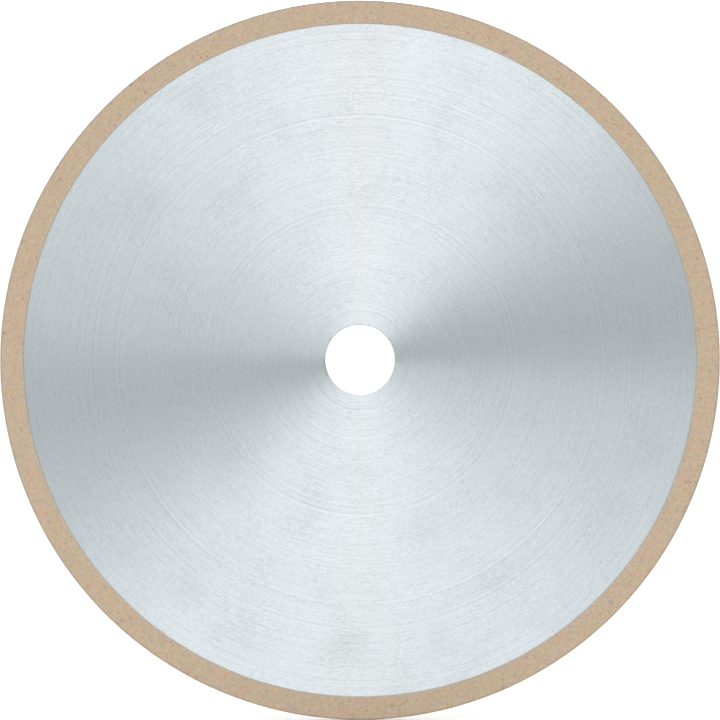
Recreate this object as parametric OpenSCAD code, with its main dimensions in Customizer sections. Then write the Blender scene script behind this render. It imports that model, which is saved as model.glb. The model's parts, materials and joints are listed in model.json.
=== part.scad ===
// Continuous rim diamond blade for wet and dry cutting of tile, stone and concrete.
// The blade spins about Y. Y = 0 is the middle of the steel core, and the bore is at the origin.
// The front side faces -Y. The two sides are alike.

/* [Blade] */
// Diameter over the diamonds
blade_d = 230; // [200:1:260]
// Diameter of the arbor bore
bore_d = 22.23; // [20:0.01:25.4]
// Height of the rim that shows outside the steel core
rim_h = 7.5; // [7:0.1:10]

/* [Steel core] */
// Thickness of the core
core_t = 1.8; // [1.6:0.1:2.4]
// Chamfer at both mouths of the bore
bore_chamfer = 0.25; // [0.1:0.05:0.4]
// Thickness of the thinner edge that is buried in the rim
tongue_t = 1.2; // [0.8:0.1:1.2]
// How far the buried edge runs into the rim
tongue_h = 3; // [2.4:0.1:3.2]
// Number of keyholes in the buried edge
keyhole_count = 60; // [24:1:72]
// Diameter of the round end of a keyhole
keyhole_d = 1.8; // [1.2:0.1:2]
// Width of the neck that opens a keyhole outwards
keyhole_neck = 1; // [0.6:0.1:1]

/* [Rim] */
// How far the bond stands out from each side of the core
side_relief = 0.2; // [0.15:0.05:0.3]
// Chamfer at the outer corners of the rim
edge_chamfer = 0.25; // [0.1:0.05:0.3]
// Chamfer at the inner corners of the rim, where it meets the core
foot_chamfer = 0.1; // [0.05:0.01:0.12]

/* [Diamonds] */
// Size of a crystal across its corners
crystal_size = 0.44; // [0.36:0.02:0.48]
// How far a crystal with a corner straight out stands above the bond
crystal_reach = 0.1; // [0.08:0.01:0.12]
// Number of crystals in the cutting edge
edge_crystals = 144; // [24:1:160]
// Number of crystals in each side of the rim
side_crystals = 108; // [24:1:120]

/* [Hidden] */
$fn = 96;

bond_r = blade_d / 2 - crystal_reach;
core_r = blade_d / 2 - rim_h;
tongue_r = core_r + tongue_h;
keyhole_r = core_r + tongue_h / 2;
bond_t = core_t + 2 * side_relief;

// Depth of a crystal's centre below the bond's surface
crystal_depth = crystal_size / 2 - crystal_reach;
// Margin between a crystal's centre and the nearest corner of the rim
crystal_margin = edge_chamfer + crystal_size / 2 + 0.1;
// Turning each crystal by this much from the last spreads them evenly
golden_turn = 180 * (3 - sqrt(5));
// Steps that never repeat, for the places across the rim and for the tilts
spread_step = sqrt(2);
tilt_steps = [71, 37, 113];

// Overlap that makes a cut pass cleanly through a face
cut = 1;

// Turns a shape that was drawn along Z so that it lies along Y
module along_y() {
    rotate([90, 0, 0]) children();
}

// Part of a number after the point
function fraction(x) = x - floor(x);

module disc(r, t) {
    cylinder(h = t, r = r, center = true);
}

// One keyhole: a round end and a neck that opens through the edge of the core
module keyhole() {
    translate([keyhole_r, 0, 0]) cylinder(h = core_t + cut, d = keyhole_d, center = true);
    translate([keyhole_r, -keyhole_neck / 2, -(core_t + cut) / 2])
        cube([tongue_h, keyhole_neck, core_t + cut]);
}

// The thin edge of the core with its keyholes, which the bond grips
module tongue() {
    difference() {
        disc(tongue_r, tongue_t);
        for (i = [0 : keyhole_count - 1])
            rotate([0, 0, i * 360 / keyhole_count]) keyhole();
    }
}

// Cone that chamfers one mouth of the bore
module bore_mouth() {
    translate([0, 0, core_t / 2 - bore_chamfer])
        cylinder(h = 2 * bore_chamfer, r1 = bore_d / 2, r2 = bore_d / 2 + 2 * bore_chamfer);
}

// Steel core, a flat disc with the arbor bore
module core() {
    color("silver") along_y() difference() {
        union() {
            disc(core_r, core_t);
            tongue();
        }
        disc(bore_d / 2, core_t + cut);
        bore_mouth();
        mirror([0, 0, 1]) bore_mouth();
    }
}

// Solid ring with the rim's section: chamfered inner and outer corners on both sides
module rim_blank() {
    side = bond_t / 2;
    half = [
        [core_r, side - foot_chamfer],
        [core_r + foot_chamfer, side],
        [bond_r - edge_chamfer, side],
        [bond_r, side - edge_chamfer]
    ];
    other_half = [for (i = [len(half) - 1 : -1 : 0]) [half[i].x, -half[i].y]];
    rotate_extrude() polygon(concat(half, other_half));
}

// Continuous rim of bronze bond, sintered around the core's thin edge
module rim() {
    color("tan") difference() {
        along_y() difference() {
            rim_blank();
            tongue();
        }
        all_crystals();
    }
}

// One diamond crystal, an octahedron, tilted differently for each number
module crystal(i) {
    a = crystal_size / 2;
    rotate([i * tilt_steps[0], i * tilt_steps[1], i * tilt_steps[2]])
        polyhedron(
            points = [[a, 0, 0], [0, a, 0], [-a, 0, 0], [0, -a, 0], [0, 0, a], [0, 0, -a]],
            faces = [
                [4, 1, 0], [4, 2, 1], [4, 3, 2], [4, 0, 3],
                [5, 0, 1], [5, 1, 2], [5, 2, 3], [5, 3, 0]
            ]
        );
}

// Crystals around the cutting edge
module crystals_in_edge() {
    r = bond_r - crystal_depth;
    span = bond_t - 2 * crystal_margin;
    for (i = [0 : edge_crystals - 1])
        rotate([0, 0, i * golden_turn])
            translate([r, 0, span * (fraction(i * spread_step) - 0.5)])
                crystal(i);
}

// Crystals in the side that faces up before the blade is turned to lie along Y
module crystals_in_side(first) {
    low = core_r + crystal_margin;
    high = bond_r - crystal_margin;
    for (i = [first : first + side_crystals - 1])
        rotate([0, 0, i * golden_turn])
            translate([low + (high - low) * fraction(i * spread_step), 0, bond_t / 2 - crystal_depth])
                crystal(i);
}

module all_crystals() {
    along_y() {
        crystals_in_edge();
        crystals_in_side(edge_crystals);
        mirror([0, 0, 1]) crystals_in_side(edge_crystals + side_crystals);
    }
}

// Diamond crystals that show at the surface of the rim, each seated in its own pocket
module diamond_grit() {
    color("ivory") all_crystals();
}

core();
rim();
diamond_grit();
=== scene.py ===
import json
import math
import random

import bmesh
import bpy
from mathutils import Euler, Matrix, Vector, noise


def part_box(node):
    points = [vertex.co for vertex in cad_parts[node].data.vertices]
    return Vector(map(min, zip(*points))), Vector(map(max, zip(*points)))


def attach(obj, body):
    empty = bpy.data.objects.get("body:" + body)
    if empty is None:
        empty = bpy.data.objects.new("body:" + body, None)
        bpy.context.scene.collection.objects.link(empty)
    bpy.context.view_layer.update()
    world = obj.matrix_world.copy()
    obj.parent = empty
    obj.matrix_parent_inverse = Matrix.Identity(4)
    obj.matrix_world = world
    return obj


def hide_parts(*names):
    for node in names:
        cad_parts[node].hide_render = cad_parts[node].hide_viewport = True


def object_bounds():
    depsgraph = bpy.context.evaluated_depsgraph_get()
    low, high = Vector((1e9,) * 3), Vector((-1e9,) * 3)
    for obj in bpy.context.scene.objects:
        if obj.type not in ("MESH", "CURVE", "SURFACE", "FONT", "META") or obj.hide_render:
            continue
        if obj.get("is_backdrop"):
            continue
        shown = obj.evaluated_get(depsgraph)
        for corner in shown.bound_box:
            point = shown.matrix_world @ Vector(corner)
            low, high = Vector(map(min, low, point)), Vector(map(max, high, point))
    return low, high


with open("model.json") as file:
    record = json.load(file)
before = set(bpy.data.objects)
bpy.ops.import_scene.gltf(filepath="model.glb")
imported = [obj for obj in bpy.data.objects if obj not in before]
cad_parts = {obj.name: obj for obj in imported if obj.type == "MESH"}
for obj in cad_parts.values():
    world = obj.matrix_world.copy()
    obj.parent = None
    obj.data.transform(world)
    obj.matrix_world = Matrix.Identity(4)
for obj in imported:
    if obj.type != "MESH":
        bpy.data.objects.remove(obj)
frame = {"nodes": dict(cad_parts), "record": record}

CAD_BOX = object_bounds()
MM = 0.001
BODY = "root"


# ---------------------------------------------------------------- sizes from the frame

def mount(name):
    return next(m for m in frame["record"]["mounts"] if m["name"] == name)


def spin_radius(point):
    """Distance of a point from the blade's spin axis, which is Y."""
    return math.hypot(point[0], point[2])


def vertices(node):
    return [v.co for v in frame["nodes"][node].data.vertices]


BORE_R = mount("bore")["dims"]["r_mm"] * MM
CORE_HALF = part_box("core")[1].y
CORE_R = min(spin_radius(v) for v in vertices("rim"))
TONGUE_R = max(spin_radius(v) for v in vertices("core"))
TONGUE_HALF = max(abs(v.y) for v in vertices("core") if spin_radius(v) > (CORE_R + TONGUE_R) / 2)
BORE_CHAMFER = CORE_HALF - mount("bore")["dims"]["length_mm"] * MM / 2
BOND_R = max(spin_radius(v) for v in vertices("rim"))
BOND_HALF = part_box("rim")[1].y


# ---------------------------------------------------------------- sizes that the frame doesn't hold

# Keyholes in the tongue, hidden inside the rim
KEYHOLES = 60
KEYHOLE_R = 0.9 * MM
KEYHOLE_NECK_HALF = 0.5 * MM
KEYHOLE_ARC_STEPS = 12

# Broken and rounded edges of the core and the rim
CORE_EDGE = 0.05 * MM
BORE_EDGE = 0.06 * MM
RIM_CORNER = 0.25 * MM
RIM_FOOT = 0.1 * MM

# Steps round the core and round the rim, each a multiple of twice KEYHOLES
CORE_STEPS = 720
RIM_STEPS = 1440

# Surface of the bond: its low grain, the share of its vertices that start a pit, and how deep a pit goes
GRAIN_SIZE = 1.1 * MM
GRAIN_HEIGHT = 0.018 * MM
PIT_SHARE = 0.014
PIT_DEPTH = (0.02 * MM, 0.07 * MM)
PIT_DEPTH_BESIDE = (0.2, 0.9)

# Crystals: their radius, and how far their middle stands out of the bond as a share of their radius
CRYSTAL_R = (0.09 * MM, 0.17 * MM)
CRYSTAL_STAND = (-0.6, 0.1)

# Crystals keep clear of the core, of the cutting edge and of the borders of their own grid cell
CLEAR_OF_CORE = 0.3 * MM
CLEAR_OF_EDGE = 0.4 * MM
CLEAR_OF_CELL = 0.1


# ---------------------------------------------------------------- mesh helpers

def around(r, y, turn):
    """A point at a radius and an angle about the spin axis."""
    return Vector((r * math.cos(turn), y, r * math.sin(turn)))


def ring(bm, r, y, steps):
    """Vertices evenly round the spin axis."""
    return [bm.verts.new(around(r, y, math.tau * i / steps)) for i in range(steps)]


def bridge(bm, a, b):
    """A band of quads between two rings with the same number of vertices."""
    for i in range(len(a)):
        j = (i + 1) % len(a)
        bm.faces.new((a[i], a[j], b[j], b[i]))


def lathe(bm, outline, steps):
    """Turns an open outline of (radius, y) points about the spin axis and gives back its rings."""
    rings = [ring(bm, r, y, steps) for r, y in outline]
    for a, b in zip(rings, rings[1:]):
        bridge(bm, a, b)
    return rings


def arc(centre, radius, start, end, steps):
    """Points on an arc between two angles in degrees, both ends included."""
    angles = [math.radians(start + (end - start) * i / steps) for i in range(steps + 1)]
    return [(centre[0] + radius * math.cos(a), centre[1] + radius * math.sin(a)) for a in angles]


def spread(start, end, steps):
    """Evenly spaced numbers between two values, both ends left out."""
    return [start + (end - start) * i / steps for i in range(1, steps)]


def mirrored(outline):
    """The same outline on the other side of the blade, in the order that carries on from its end."""
    return [(r, -y) for r, y in reversed(outline)]


def new_piece(name, mesh):
    """Puts a mesh in the scene as an object."""
    piece = bpy.data.objects.new(name, mesh)
    bpy.context.scene.collection.objects.link(piece)
    return piece


def finish_mesh(bm, name, smooth_angle):
    """Makes a piece from a closed bmesh, smooth except across edges sharper than an angle."""
    bmesh.ops.recalc_face_normals(bm, faces=bm.faces)
    mesh = bpy.data.meshes.new(name)
    bm.to_mesh(mesh)
    bm.free()
    mesh.shade_smooth()
    mesh.set_sharp_from_angle(angle=math.radians(smooth_angle))
    return new_piece(name, mesh)


# ---------------------------------------------------------------- the joint hidden between core and rim

def keyhole_outline(turn):
    """Outline of one keyhole in the tongue, from one corner of its mouth to the other, as (x, z) points."""
    centre = (CORE_R + TONGUE_R) / 2
    mouth = math.sqrt(TONGUE_R ** 2 - KEYHOLE_NECK_HALF ** 2)
    opening = math.degrees(math.asin(KEYHOLE_NECK_HALF / KEYHOLE_R))
    round_end = arc((centre, 0), KEYHOLE_R, -opening, opening - 360, KEYHOLE_ARC_STEPS)
    local = [(mouth, -KEYHOLE_NECK_HALF), *round_end, (mouth, KEYHOLE_NECK_HALF)]
    c, s = math.cos(turn), math.sin(turn)
    return [(x * c - z * s, x * s + z * c) for x, z in local]


def tongue_outline(tooth_steps):
    """Outline of the tongue's edge as (x, z) points, and where in it each keyhole's stretch starts."""
    pitch = math.tau / KEYHOLES
    neck_turn = math.asin(KEYHOLE_NECK_HALF / TONGUE_R)
    before = [-pitch / 2 + (pitch / 2 - neck_turn) * i / tooth_steps for i in range(tooth_steps)]
    after = [-a for a in reversed(before[1:])]
    outline = []
    starts = []
    for k in range(KEYHOLES):
        turn = k * pitch
        starts.append(len(outline))
        outline += [(TONGUE_R * math.cos(turn + a), TONGUE_R * math.sin(turn + a)) for a in before]
        outline += keyhole_outline(turn)
        outline += [(TONGUE_R * math.cos(turn + a), TONGUE_R * math.sin(turn + a)) for a in after]
    return outline, starts


def add_tongue(bm, inner_back, inner_front):
    """Adds the flats and the wall of the tongue between the two inner rings and its own edge."""
    per_key = len(inner_back) // KEYHOLES
    half_key = per_key // 2
    outline, starts = tongue_outline(half_key)
    edges = []
    for y, inner in ((TONGUE_HALF, inner_back), (-TONGUE_HALF, inner_front)):
        outer = [bm.verts.new((x, y, z)) for x, z in outline]
        for k, (start, end) in enumerate(zip(starts, starts[1:] + [len(outline)])):
            sector = [outer[i % len(outer)] for i in range(start, end + 1)]
            middle = k * per_key
            hub = [inner[(middle + i) % len(inner)] for i in range(half_key, -half_key - 1, -1)]
            bm.faces.new(sector + hub)
        edges.append(outer)
    bridge(bm, *edges)


# ---------------------------------------------------------------- steel core

def core_half_outline():
    """Section of one half of the core, from the step that the rim covers to the straight wall of the bore."""
    face_start = CORE_R - CORE_EDGE
    face_end = BORE_R + 2 * BORE_CHAMFER
    face_steps = 8
    mouth = BORE_R + BORE_CHAMFER
    return [
        (CORE_R, TONGUE_HALF),
        (CORE_R, CORE_HALF - CORE_EDGE),
        (face_start, CORE_HALF),
        *[(r, CORE_HALF) for r in spread(face_start, face_end, face_steps)],
        (face_end, CORE_HALF),
        (mouth + BORE_EDGE, CORE_HALF),
        (mouth - BORE_EDGE / 2, CORE_HALF - BORE_EDGE),
        (BORE_R + BORE_EDGE / 2, CORE_HALF - BORE_CHAMFER + BORE_EDGE),
        (BORE_R, CORE_HALF - BORE_CHAMFER - BORE_EDGE),
    ]


def make_core():
    bm = bmesh.new()
    half = core_half_outline()
    rings = lathe(bm, half + mirrored(half), CORE_STEPS)
    add_tongue(bm, rings[0], rings[-1])
    return finish_mesh(bm, "steel_core", smooth_angle=25)


# ---------------------------------------------------------------- sintered rim

def rim_half_outline():
    """Section of one half of the rim, from the step of the core to just short of the middle of its edge."""
    corner_steps = 4
    side_steps = 17
    edge_steps = 4
    corner = (BOND_R - RIM_CORNER, BOND_HALF - RIM_CORNER)
    return [
        (CORE_R, TONGUE_HALF),
        (CORE_R, CORE_HALF),
        (CORE_R, BOND_HALF - RIM_FOOT),
        (CORE_R + RIM_FOOT, BOND_HALF),
        *[(r, BOND_HALF) for r in spread(CORE_R + RIM_FOOT, corner[0], side_steps)],
        *arc(corner, RIM_CORNER, 90, 0, corner_steps),
        *[(BOND_R, y) for y in spread(corner[1], 0, edge_steps)],
    ]


def pits(rings, seed):
    """Pits of two vertices each, the second one shallower, as {vertex: depth}."""
    pick = random.Random(seed)
    found = {}
    for band, next_band in zip(rings, rings[1:]):
        for i, v in enumerate(band):
            if pick.random() > PIT_SHARE:
                continue
            depth = pick.uniform(*PIT_DEPTH)
            found[v] = depth
            beside = pick.choice((band[i - 1], next_band[i], next_band[i - 1]))
            found[beside] = depth * pick.uniform(*PIT_DEPTH_BESIDE)
    return found


def roughen(rings, outline, pit_layer):
    """Moves the visible rings in and out, square to the outline: a low grain with small pits."""
    visible = [i for i, (r, _) in enumerate(outline) if r > CORE_R + RIM_FOOT / 2]
    pit_shade = pits([rings[i] for i in visible], seed=31)
    for i in visible:
        before, after = outline[i - 1], outline[i + 1]
        out_r, out_y = before[1] - after[1], after[0] - before[0]
        length = math.hypot(out_r, out_y)
        for v in rings[i]:
            radial = Vector((v.co.x, 0, v.co.z)).normalized()
            outward = (radial * out_r + Vector((0, out_y, 0))) / length
            depth = pit_shade.get(v, 0.0)
            v.co += outward * (GRAIN_HEIGHT * noise.noise(v.co / GRAIN_SIZE) - depth)
            v[pit_layer] = depth / PIT_DEPTH[1]


def make_rim():
    """The rim, whose "pit" attribute says how deep each vertex lies in a pit, from 0 to 1."""
    bm = bmesh.new()
    pit_layer = bm.verts.layers.float.new("pit")
    half = rim_half_outline()
    outline = half + [(BOND_R, 0)] + mirrored(half)
    rings = lathe(bm, outline, RIM_STEPS)
    roughen(rings, outline, pit_layer)
    add_tongue(bm, rings[0], rings[-1])
    return finish_mesh(bm, "sintered_rim", smooth_angle=40)


# ---------------------------------------------------------------- diamond crystals

def crystal_shape():
    """Corners and faces of a crystal of radius 1: a cube with its corners cut to the middle of its edges."""
    bm = bmesh.new()
    signs = (-1, 1)
    for a in signs:
        for b in signs:
            for corner in ((a, b, 0), (a, 0, b), (0, a, b)):
                bm.verts.new(Vector(corner).normalized())
    bmesh.ops.convex_hull(bm, input=bm.verts)
    bm.verts.index_update()
    corners = [v.co.copy() for v in bm.verts]
    faces = [[v.index for v in f.verts] for f in bm.faces]
    bm.free()
    return corners, faces


def crystals(name, places, seed):
    """One piece made of many small crystals, each tilted by chance and with a "tone" of its own, 0 to 1."""
    pick = random.Random(seed)
    corners, faces = crystal_shape()
    all_corners = []
    all_faces = []
    tones = []
    for place, size in places:
        tilt = Euler([pick.uniform(0, math.tau) for _ in range(3)]).to_matrix()
        start = len(all_corners)
        all_corners += [place + tilt @ c * size for c in corners]
        all_faces += [[start + i for i in f] for f in faces]
        tones += [pick.random()] * len(faces)
    mesh = bpy.data.meshes.new(name)
    mesh.from_pydata(all_corners, [], all_faces)
    mesh.attributes.new("tone", "FLOAT", "FACE").data.foreach_set("value", tones)
    return new_piece(name, mesh)


def scattered(rows, columns, seed):
    """One crystal by chance in each cell of a grid, as (share of the way across, turn, size, stand)."""
    pick = random.Random(seed)
    for row in range(rows):
        for column in range(columns):
            across = (row + pick.uniform(CLEAR_OF_CELL, 1 - CLEAR_OF_CELL)) / rows
            turn = math.tau * (column + pick.uniform(CLEAR_OF_CELL, 1 - CLEAR_OF_CELL)) / columns
            size = pick.uniform(*CRYSTAL_R)
            stand = pick.uniform(*CRYSTAL_STAND) * size
            yield across, turn, size, stand


def side_places(side, seed):
    """Places and sizes for crystals over one side of the rim: -1 is the front and 1 the back."""
    low, high = CORE_R + CLEAR_OF_CORE, BOND_R - CLEAR_OF_EDGE
    return [
        (around(low + (high - low) * across, side * (BOND_HALF + stand), turn), size)
        for across, turn, size, stand in scattered(rows=7, columns=470, seed=seed)
    ]


def edge_places(seed):
    """Places and sizes for crystals round the cutting edge."""
    half = BOND_HALF - RIM_CORNER
    return [
        (around(BOND_R + stand, half * (2 * across - 1), turn), size)
        for across, turn, size, stand in scattered(rows=3, columns=620, seed=seed)
    ]


# ---------------------------------------------------------------- node helpers

def linear(value):
    """Linear light from an sRGB channel of 0 to 255, by the sRGB standard's curve."""
    v = value / 255
    return v / 12.92 if v <= 0.04045 else ((v + 0.055) / 1.055) ** 2.4


def srgb(r, g, b):
    return (linear(r), linear(g), linear(b), 1.0)


class Tree:
    """A node tree with short calls that add nodes to it. Inputs are sockets or plain values."""

    def __init__(self, tree):
        self.tree = tree
        tree.nodes.clear()

    def add(self, kind, inputs=None, **settings):
        node = self.tree.nodes.new("ShaderNode" + kind)
        for key, value in settings.items():
            setattr(node, key, value)
        for key, value in (inputs or {}).items():
            if isinstance(value, bpy.types.NodeSocket):
                self.tree.links.new(value, node.inputs[key])
            else:
                node.inputs[key].default_value = value
        return node

    def math(self, operation, a, b=0.0, clamp=False):
        return self.add("Math", {0: a, 1: b}, operation=operation, use_clamp=clamp).outputs[0]

    def clamped(self, value):
        """A value kept between 0 and 1."""
        return self.math("ADD", value, 0.0, clamp=True)

    def times(self, a, b):
        return self.math("MULTIPLY", a, b)

    def total(self, *values):
        result = values[0]
        for value in values[1:]:
            result = self.math("ADD", result, value)
        return result

    def vector(self, operation, a, b=(0.0, 0.0, 0.0)):
        node = self.add("VectorMath", {0: a, 1: b}, operation=operation)
        return node.outputs["Value" if operation == "LENGTH" else "Vector"]

    def xyz(self, vector):
        return tuple(self.add("SeparateXYZ", {0: vector}).outputs)

    def combine(self, x, y, z):
        return self.add("CombineXYZ", {0: x, 1: y, 2: z}).outputs[0]

    def spin_radius(self, place):
        """Distance of a place from the spin axis."""
        x, _, z = self.xyz(place)
        return self.vector("LENGTH", self.combine(x, 0.0, z))

    def elsewhere(self, place, offset):
        """A place moved aside, so that noise there doesn't follow noise here."""
        return self.vector("ADD", place, offset)

    def noise(self, where, size, detail=2.0, roughness=0.5):
        """A noise value, which stays mostly between 0.3 and 0.7."""
        inputs = {"Vector": where, "Scale": 1 / size, "Detail": detail, "Roughness": roughness}
        return self.add("TexNoise", inputs).outputs[0]

    def remap(self, value, low, high, to_low=0.0, to_high=1.0):
        inputs = {"Value": value, "From Min": low, "From Max": high, "To Min": to_low, "To Max": to_high}
        return self.add("MapRange", inputs).outputs[0]

    def between(self, value, low, high):
        """A noise value spread out between two numbers."""
        return self.remap(value, 0.3, 0.7, low, high)

    def centred(self, value, amount):
        """A noise value moved to swing about 0 by an amount."""
        return self.times(self.math("SUBTRACT", value, 0.5), amount)

    def attribute(self, name):
        return self.add("Attribute", attribute_name=name).outputs["Fac"]

    def mix(self, factor, a, b):
        """Two colours mixed."""
        return self.add("Mix", {0: factor, 6: a, 7: b}, data_type="RGBA").outputs[2]

    def shade(self, colour, brightness):
        """A colour made lighter or darker by a number."""
        return self.vector("MULTIPLY", colour, self.combine(brightness, brightness, brightness))

    def bump(self, height, strength, distance):
        inputs = {"Height": height, "Strength": strength, "Distance": distance}
        return self.add("Bump", inputs).outputs[0]

    def output(self, shader, kind="OutputMaterial"):
        self.tree.links.new(shader.outputs[0], self.add(kind).inputs[0])


def new_material(name):
    material = bpy.data.materials.new(name)
    material.use_nodes = True
    return material, Tree(material.node_tree)


def paint(piece, material):
    """Gives a piece or a CAD node one material."""
    if not piece.material_slots:
        piece.data.materials.append(material)
    for place in piece.material_slots:
        place.material = material


# ---------------------------------------------------------------- materials

# The steel's two colours are in linear light, and srgb() turns the others into it
STEEL_GROUND = (0.645, 0.710, 0.738)
STEEL_DULL = (0.382, 0.420, 0.437)
BOND_COPPER = srgb(185, 159, 144)
BOND_OLIVE = srgb(176, 166, 134)
BOND_ORANGE = srgb(186, 161, 132)
BOND_GREY = srgb(175, 164, 147)
# The next colour is the specks' own and is also painted shade in the pits; the two after it are painted shade
# on the outer corners and beside the core
BOND_SPECK_AND_PIT_SHADE = srgb(146, 118, 100)
BOND_CORNER_SHADE = srgb(140, 133, 124)
BOND_FOOT_SHADE = srgb(166, 164, 158)
DIAMOND_PALE = srgb(222, 214, 190)
DIAMOND_DEEP = srgb(176, 166, 132)


def brushed_steel():
    """Steel ground in circles about the spin axis.

    It mixes a bright ground finish, which mirrors light in fans, with a dull scratched one. The marks
    are mostly in the share of the dull finish, so they show most where a fan is bright.
    """
    material, t = new_material("brushed_steel")
    geometry = t.add("NewGeometry")
    place, normal = geometry.outputs["Position"], geometry.outputs["Normal"]
    x, _, z = t.xyz(place)
    radius = t.spin_radius(place)

    def rings(width):
        """Noise that changes only with the radius."""
        return t.noise(t.combine(t.math("DIVIDE", radius, width), 0.0, 0.0), size=1.0, detail=1.0)

    def scratches(width, length):
        """Noise in short strokes that run round the axis."""
        across = t.math("DIVIDE", radius, width)
        where = t.combine(t.math("DIVIDE", x, length), across, t.math("DIVIDE", z, length))
        return t.noise(where, size=1.0)

    short = scratches(width=0.26 * MM, length=0.85 * MM)
    long = scratches(width=0.32 * MM, length=2.6 * MM)
    scratch_strength = t.between(t.noise(place, 10 * MM, detail=1.0), 0.6, 1.4)
    ring_strength = t.times(
        t.between(rings(9 * MM), 0.5, 1.5),
        t.between(t.noise(place, 32 * MM, detail=1.0), 0.5, 1.5),
    )
    scratch_marks = t.times(t.total(t.centred(short, 0.88), t.centred(long, 0.55)), scratch_strength)
    fine_rings = t.times(t.centred(rings(0.85 * MM), 0.51), ring_strength)
    broad_rings = t.centred(rings(2.6 * MM), 0.12)
    clouds = t.centred(t.noise(place, 22 * MM), 0.24)
    smudge_noise = t.noise(t.elsewhere(place, (0.3, 0.1, 0.2)), 20 * MM, detail=1.0)
    smudges = t.remap(smudge_noise, 0.25, 0.46, to_low=0.115, to_high=0.0)
    plain_share = 0.15
    dull_share = t.clamped(t.total(plain_share, scratch_marks, fine_rings, broad_rings, clouds, smudges))

    # The direction across the grinding: outward on the flats, and along the axis inside the bore
    around_axis = t.vector("CROSS_PRODUCT", (0.0, 1.0, 0.0), place)
    across_grinding = t.vector("NORMALIZE", t.vector("CROSS_PRODUCT", normal, around_axis))
    scratched_normal = t.bump(short, strength=0.5, distance=0.004 * MM)

    # The chamfer and the wall of the bore are painted a little darker: painted shade at the mouth of the bore
    mouth = BORE_R + BORE_CHAMFER
    bore_shade = t.remap(radius, mouth, mouth + 0.12 * MM, to_low=0.92, to_high=1.0)
    ground = t.add("BsdfPrincipled", {
        "Base Color": t.shade(t.combine(*STEEL_GROUND), bore_shade),
        "Metallic": 1.0,
        "Roughness": t.total(0.40, t.centred(short, 0.08)),
        "Anisotropic": 1.0,
        "Tangent": across_grinding,
        "Normal": scratched_normal,
    })
    scratched = t.add("BsdfPrincipled", {
        "Base Color": t.shade(t.combine(*STEEL_DULL), bore_shade),
        "Metallic": 1.0,
        "Roughness": 0.7,
        "Normal": scratched_normal,
    })
    t.output(t.add("MixShader", {0: dull_share, 1: ground.outputs[0], 2: scratched.outputs[0]}))
    return material


def sintered_bond():
    """Bronze powder pressed and sintered: a dull tan that drifts in colour, with darker specks of its own,
    and painted shade in its pits, on its outer corners and beside the core.
    """
    material, t = new_material("sintered_bond")
    place = t.add("NewGeometry").outputs["Position"]
    _, y, _ = t.xyz(place)
    radius = t.spin_radius(place)

    # Two drifts of colour that don't follow each other
    copper = t.remap(t.noise(place, 1.9 * MM), 0.34, 0.66)
    orange = t.remap(t.noise(t.elsewhere(place, (0.31, 0.17, 0.23)), 1.7 * MM), 0.34, 0.66)
    tan = t.mix(0.5, t.mix(copper, BOND_OLIVE, BOND_COPPER), t.mix(orange, BOND_GREY, BOND_ORANGE))

    # Dark specks of the bond's own colour, and painted shade in the pits, darkest where they are deepest
    speck_noise = t.noise(t.elsewhere(place, (0.2, 0.4, 0.1)), 0.9 * MM, detail=1.0)
    specks = t.remap(speck_noise, 0.24, 0.34, to_low=0.5, to_high=0.0)
    pit_shade = t.remap(t.attribute("pit"), 0.1, 0.7, to_low=0.0, to_high=0.7)
    colour = t.mix(t.math("MAXIMUM", specks, pit_shade), tan, BOND_SPECK_AND_PIT_SHADE)

    # The outer corners are painted a darker grey, as painted shade on their rounding, and the bond is painted
    # greyish beside the core, as painted shade at the step where the rim meets the core
    off_middle = t.math("ABSOLUTE", y)
    corner_shade_mask = t.times(
        t.remap(radius, BOND_R - 0.65 * MM, BOND_R - 0.15 * MM),
        t.remap(off_middle, BOND_HALF - 0.50 * MM, BOND_HALF - 0.20 * MM),
    )
    foot_shade_mask = t.remap(radius, CORE_R + 0.10 * MM, CORE_R + 1.00 * MM, to_low=1.0, to_high=0.0)
    colour = t.mix(t.times(corner_shade_mask, 0.60), colour, BOND_CORNER_SHADE)
    colour = t.mix(t.times(foot_shade_mask, 0.40), colour, BOND_FOOT_SHADE)

    grain = t.noise(place, 0.7 * MM, detail=5.0, roughness=0.62)
    t.output(t.add("BsdfPrincipled", {
        "Base Color": t.shade(colour, t.total(1.0, t.centred(grain, 0.86))),
        "Metallic": 0.45,
        "Roughness": t.between(grain, 0.52, 0.72),
        "Normal": t.bump(grain, strength=0.6, distance=0.05 * MM),
    }))
    return material


def diamond():
    """Cloudy yellowish synthetic diamond with bright facets, each crystal in its own tone."""
    material, t = new_material("diamond")
    place = t.add("NewGeometry").outputs["Position"]
    cloud = t.noise(place, 0.25 * MM)
    paleness = t.clamped(t.total(t.attribute("tone"), t.centred(cloud, 0.5)))
    t.output(t.add("BsdfPrincipled", {
        "Base Color": t.mix(paleness, DIAMOND_DEEP, DIAMOND_PALE),
        "Roughness": t.between(cloud, 0.12, 0.3),
        "IOR": 2.0,
    }))
    return material


# ---------------------------------------------------------------- the blade

def add_piece(piece, material):
    """Paints a piece and lets it ride on the blade's one body."""
    paint(piece, material)
    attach(piece, BODY)


def build_blade():
    core = make_core()
    add_piece(core, brushed_steel())
    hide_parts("core")

    rim = make_rim()
    add_piece(rim, sintered_bond())
    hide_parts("rim")

    gem = diamond()
    add_piece(crystals("grit_front", side_places(-1, seed=11), seed=21), gem)
    add_piece(crystals("grit_back", side_places(1, seed=12), seed=22), gem)
    add_piece(crystals("grit_edge", edge_places(seed=13), seed=23), gem)
    paint(frame["nodes"]["diamond_grit"], gem)


# ---------------------------------------------------------------- floor, light and camera

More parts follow.
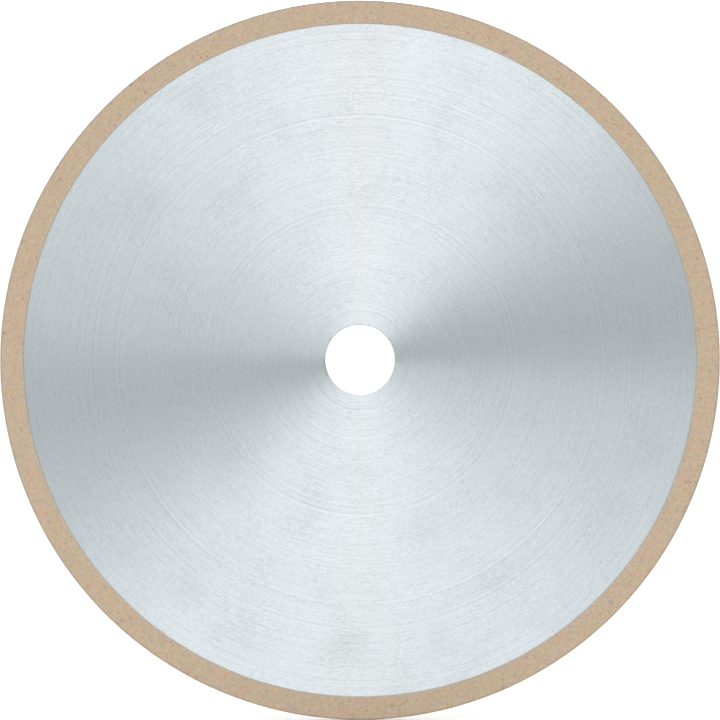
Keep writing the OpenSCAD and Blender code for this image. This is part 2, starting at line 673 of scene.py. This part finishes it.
def build_floor():
    """A plain pale floor that the blade stands on, painted a little paler close to it: painted light that
    offsets the blade's shade on the floor.
    """
    reach = 4.0
    mesh = bpy.data.meshes.new("floor")
    corners = [(-reach, -reach, 0), (reach, -reach, 0), (reach, reach, 0), (-reach, reach, 0)]
    mesh.from_pydata(corners, [], [(0, 1, 2, 3)])
    floor = new_piece("floor", mesh)
    floor.location.z = CAD_BOX[0].z

    material, t = new_material("pale_floor")
    place = t.add("NewGeometry").outputs["Position"]
    x, y, _ = t.xyz(place)
    away = t.vector("LENGTH", t.combine(x, y, 0.0))
    # Painted light: the floor's tone is lighter close to the blade, to offset the shade that the blade casts
    # on it
    tone_painted_lighter_near = t.remap(away, 0.08, 0.5, to_low=0.74, to_high=0.645)
    paleness = t.total(tone_painted_lighter_near, t.centred(t.noise(place, size=0.4), 0.02))
    colour = t.shade(t.combine(0.98, 1.0, 1.0), paleness)
    t.output(t.add("BsdfPrincipled", {"Base Color": colour, "Roughness": 0.8}))
    paint(floor, material)
    floor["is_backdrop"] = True


def build_studio():
    """A soft dome of light, brightest overhead and darkest at the right, and white to the camera."""
    world = bpy.data.worlds.new("studio")
    bpy.context.scene.world = world
    world.use_nodes = True
    t = Tree(world.node_tree)
    direction = t.add("TexCoord").outputs["Generated"]
    x, _, z = t.xyz(direction)
    sideways = t.spin_radius(direction)

    def panel(angle, sharpness, strength):
        """Light from an angle about the spin axis, counted up from +X, that fades away from it."""
        a = math.radians(angle)
        along = t.math("ADD", t.times(x, math.cos(a)), t.times(z, math.sin(a)))
        facing = t.math("MAXIMUM", t.math("DIVIDE", along, sideways), 0.0)
        return t.times(t.math("POWER", facing, sharpness), strength)

    from_all_round = 0.25
    overhead = panel(angle=75, sharpness=1.5, strength=1.88)
    left = panel(angle=180, sharpness=0.8, strength=0.80)
    dark_right = panel(angle=19, sharpness=11.0, strength=-0.66)
    light = t.total(from_all_round, overhead, left, dark_right)

    # The light is warmest from straight above
    warm = panel(angle=90, sharpness=2.0, strength=0.076)
    warm_top = panel(angle=90, sharpness=40.0, strength=0.082)
    red = t.total(0.937, warm, warm_top)
    colour = t.combine(red, 0.975, 0.97)
    white = t.times(t.add("LightPath").outputs["Is Camera Ray"], 1.1)
    background = t.add("Background", {"Color": colour, "Strength": t.math("MAXIMUM", light, white)})
    t.output(background, "OutputWorld")


def build_camera():
    """A long lens square on to the front, so that the blade just fills the picture."""
    camera = bpy.data.objects.new("camera", bpy.data.cameras.new("camera"))
    camera.data.lens = 300
    margin = 1.0007
    half_view = camera.data.sensor_width / 2 / camera.data.lens
    camera.location.y = CAD_BOX[0].y - BOND_R * margin / half_view
    camera.rotation_euler.x = math.radians(90)
    bpy.context.scene.collection.objects.link(camera)
    bpy.context.scene.camera = camera


def write_sizes():
    """Works out the CAD's box and the visual model's box, lowest corner first, without writing them anywhere.
    """
    boxes = {"cad": CAD_BOX, "visual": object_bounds()}
    {name: [list(corner) for corner in box] for name, box in boxes.items()}


build_blade()
build_floor()
build_studio()
build_camera()
bpy.context.scene.view_settings.view_transform = "Standard"
write_sizes()
